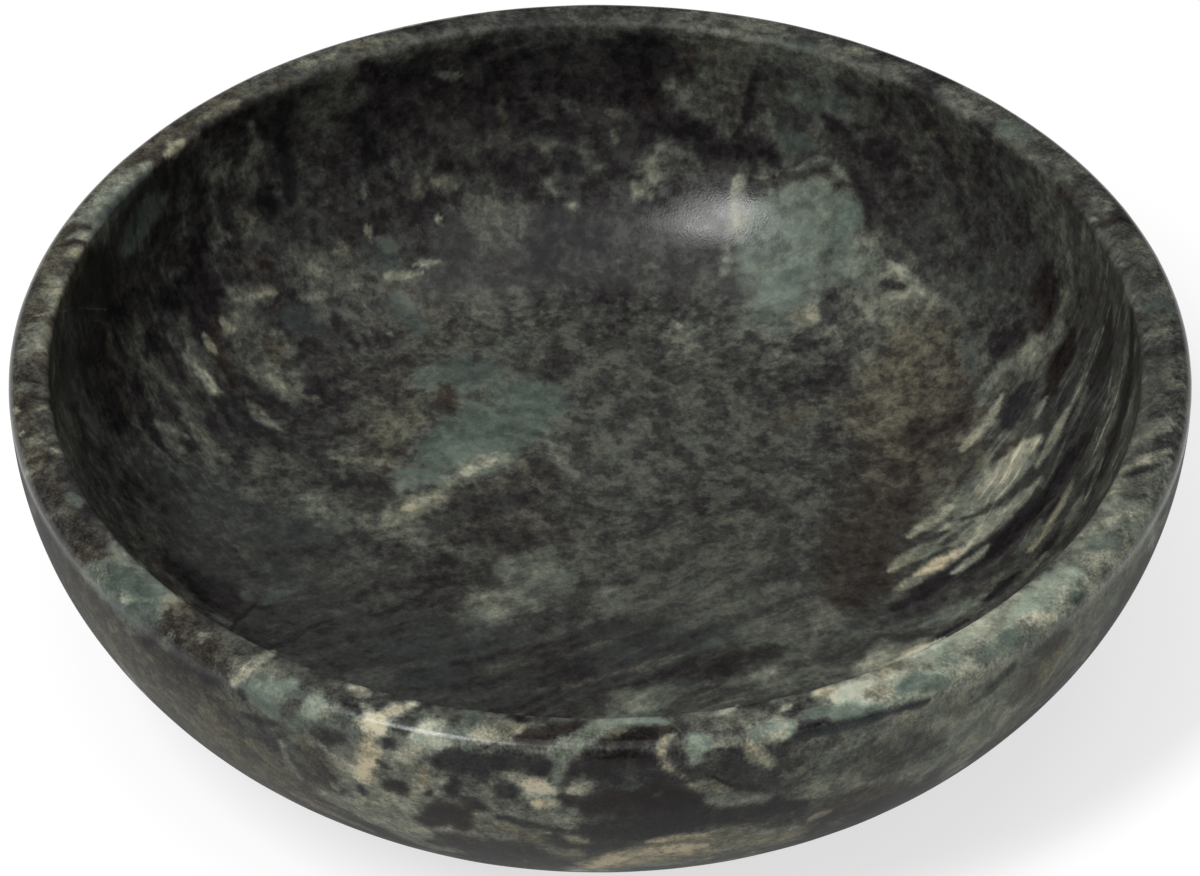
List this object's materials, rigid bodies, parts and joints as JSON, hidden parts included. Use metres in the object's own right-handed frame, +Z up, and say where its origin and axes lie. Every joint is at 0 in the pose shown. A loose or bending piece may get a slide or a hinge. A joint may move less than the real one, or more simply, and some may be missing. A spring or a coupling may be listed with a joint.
{
  "type": "ring dish",
  "caption": "Round turned green-marble dish with a flat rim, curved belly and dished hollow on stick-on feet, holding rings and small jewellery on a table.",
  "frame": {"origin": "on the table, under the centre of the dish", "axes": "+Z up along the axis that the dish is turned about, -Y towards the viewer of the picture"},
  "size_m": [0.127, 0.127, 0.038],
  "materials": {
    "green_marble": "honed and waxed dark green marble, black and pale grey-green clouds, cream patches, thin pale veins",
    "foot_silicone": "moulded translucent silicone, satin",
    "adhesive_film": "milky acrylic adhesive film"
  },
  "bodies": {
    "root": {"bowl": "green_marble", "foot_front_left": "foot_silicone", "foot_front_right": "foot_silicone", "foot_back_left": "foot_silicone", "foot_back_right": "foot_silicone", "adhesive_discs": "adhesive_film"}
  },
  "joints": []
}
